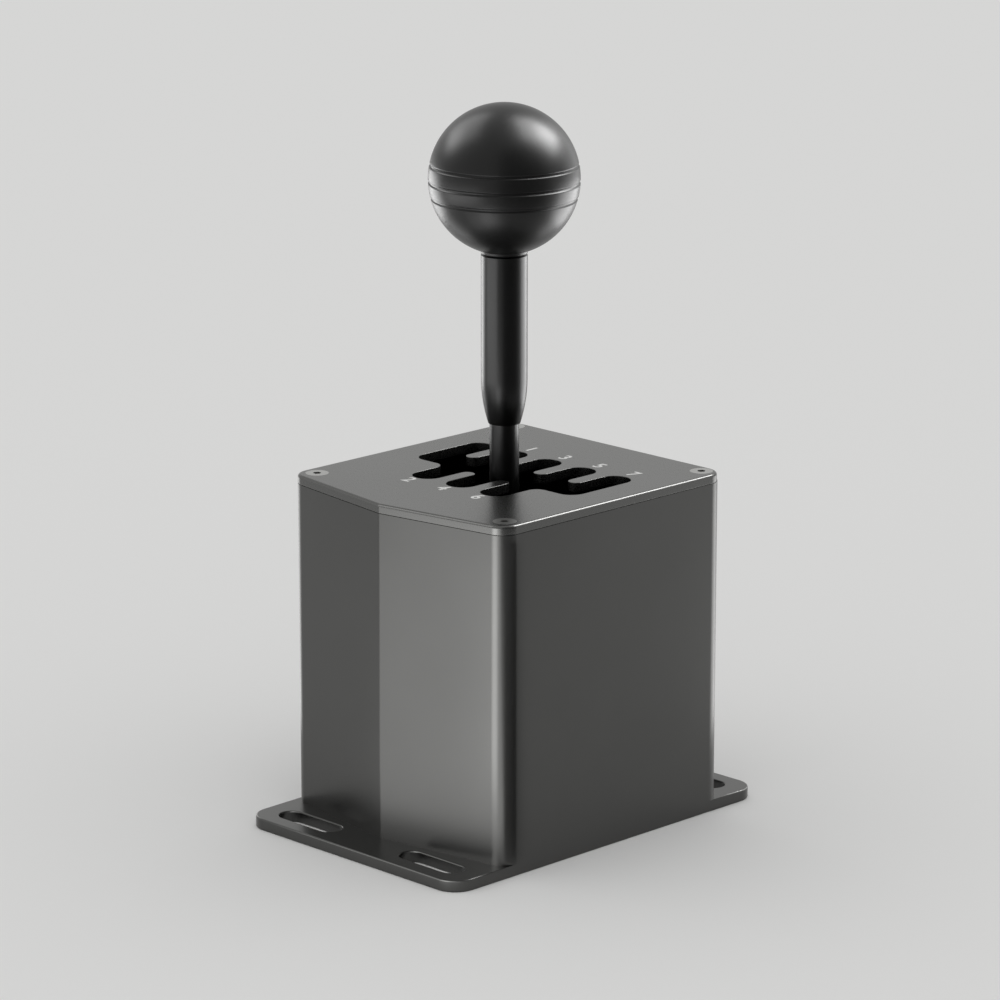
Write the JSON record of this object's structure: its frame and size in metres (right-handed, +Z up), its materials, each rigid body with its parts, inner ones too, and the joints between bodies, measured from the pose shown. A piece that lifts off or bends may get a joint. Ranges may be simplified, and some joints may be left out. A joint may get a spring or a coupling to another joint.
{
  "type": "gear shifter",
  "caption": "Gated lever shifter for a driving rig: a box housing on a slotted flange, an H-pattern gate, a rocking lever with a ball knob, centring springs and a detent.",
  "frame": {"origin": "centre of the base's underside, under the lever at rest", "axes": "+Z up along the lever, +Y away from the driver, +X to the driver's right"},
  "size_m": [0.1, 0.144, 0.2415],
  "materials": {
    "body_anodised": "dark grey satin anodised casting",
    "plate_anodised": "dark grey satin anodised plate",
    "plain_aluminium": "machined",
    "sleeve_anodised": "black satin anodised, turned",
    "shaft_steel": "black oxide",
    "screw_steel": "zinc plated",
    "bright_steel": "ground",
    "spring_steel": "bright drawn",
    "brass": "turned",
    "circuit_board": "green solder mask",
    "black_plastic": "moulded",
    "knob_plastic": "black satin, moulded"
  },
  "bodies": {
    "base": {"housing": "body_anodised", "gate_plate": "plate_anodised", "cover_screws": "screw_steel", "bottom_plate": "plain_aluminium", "bottom_screws": "screw_steel", "front_pedestal": "plain_aluminium", "rear_pedestal": "plain_aluminium", "pedestal_screws": "screw_steel", "select_bearings": "bright_steel", "spring_posts": "bright_steel", "left_centring_spring": "spring_steel", "right_centring_spring": "spring_steel", "sensor_board": "circuit_board", "board_standoffs": "brass", "board_screws": "screw_steel", "hall_sensor": "black_plastic", "data_socket": "bright_steel"},
    "yoke": {"select_yoke": "plain_aluminium", "shift_axle": "bright_steel", "detent_plunger": "bright_steel", "detent_spring": "spring_steel"},
    "pin": {"detent_pin": "bright_steel"},
    "lever": {"pivot_block": "plain_aluminium", "pivot_bushes": "brass", "shaft_set_screws": "screw_steel", "magnet": "bright_steel", "lever_shaft": "shaft_steel", "sleeve": "sleeve_anodised", "knob": "knob_plastic", "knob_insert": "brass"}
  },
  "joints": [
    {"name": "select", "type": "hinge", "parent": "base", "child": "yoke", "pos_m": [0, 0, 0.034], "axis": [0, 1, 0], "range_deg": [-11.04, 11.04], "stiffness_Nm_per_rad": 4, "deforming": ["left_centring_spring", "right_centring_spring"]},
    {"name": "shift", "type": "hinge", "parent": "yoke", "child": "lever", "pos_m": [0, 0, 0.034], "axis": [-1, 0, 0], "range_deg": [-12.87, 12.87]},
    {"name": "detent_travel", "type": "slide", "parent": "yoke", "child": "pin", "axis": [-1, 0, 0], "range_m": [0, 0.0004], "stiffness_N_per_m": 1500, "springref_m": 0.0004}
  ]
}
